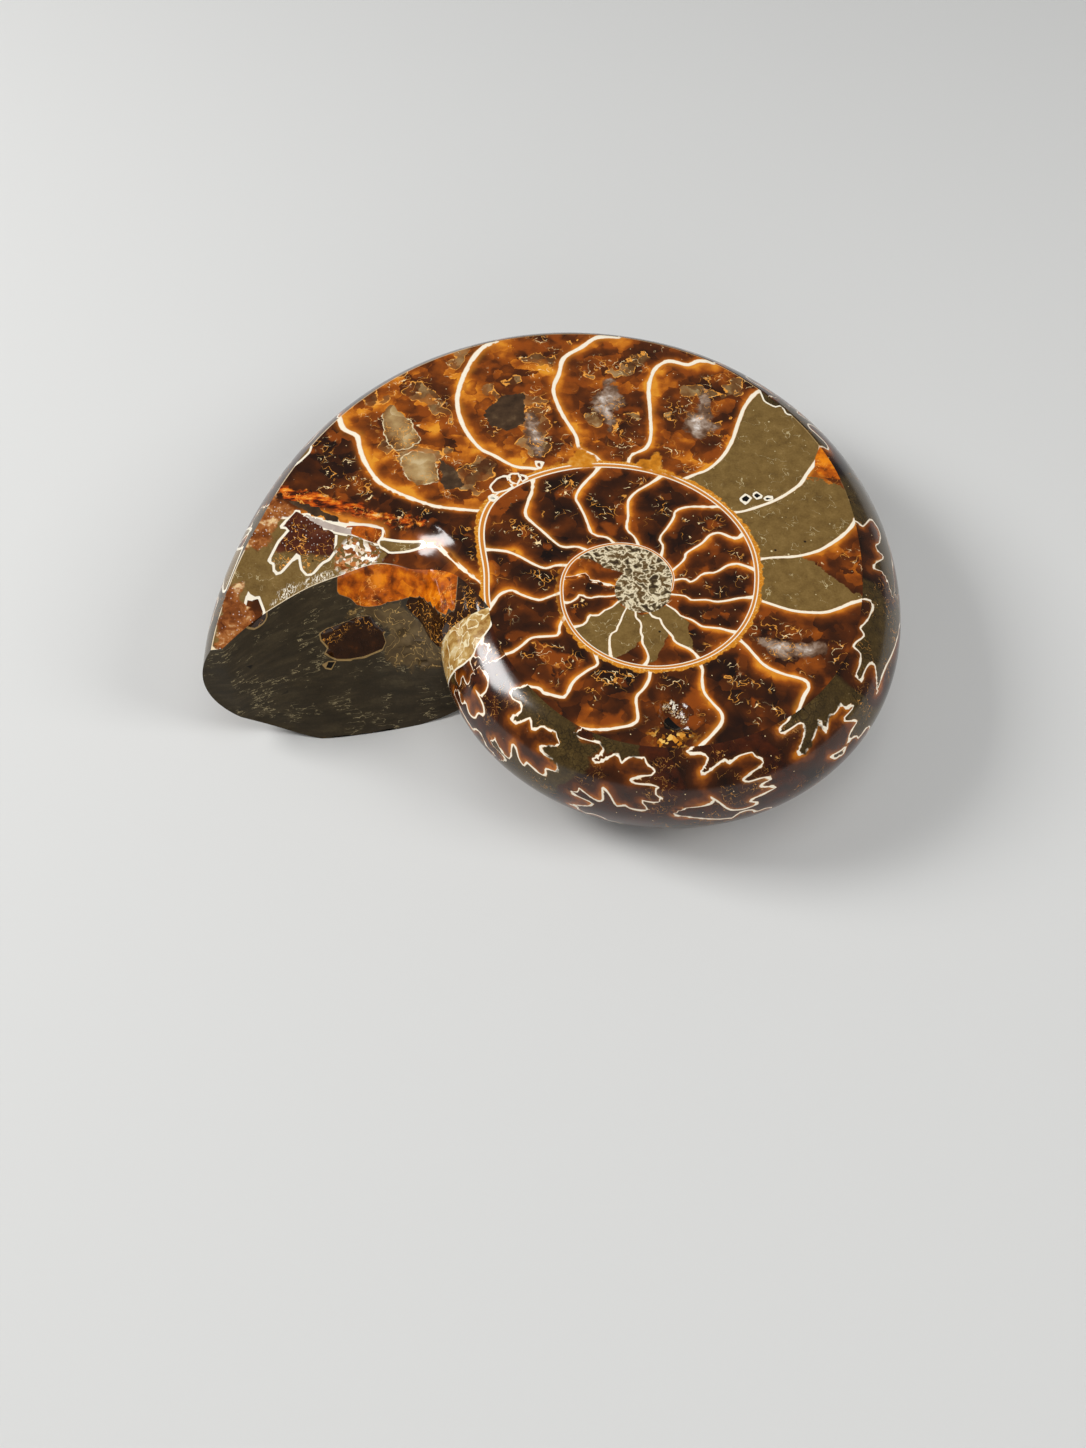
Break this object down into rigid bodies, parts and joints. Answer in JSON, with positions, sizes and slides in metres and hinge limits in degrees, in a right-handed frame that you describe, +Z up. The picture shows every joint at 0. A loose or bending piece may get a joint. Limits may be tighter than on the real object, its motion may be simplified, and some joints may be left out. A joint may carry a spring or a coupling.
{
  "type": "polished ammonite",
  "caption": "Coiled fossil ammonite with one side ground flat and polished, a round natural rim and a slanting broken mouth; a display or collection piece.",
  "frame": {"origin": "middle of the footprint, on the surface that the fossil lies on", "axes": "+X across the widest line of the coil, away from the broken mouth; +Y away from the low near rim; +Z up out of the ground face"},
  "size_m": [0.0722, 0.0638, 0.0152],
  "materials": {
    "polished_fossil": "polished amber, brown and olive calcite with fine cream lines; matte grey on the broken mouth"
  },
  "bodies": {
    "root": {"ammonite": "polished_fossil"}
  },
  "joints": []
}
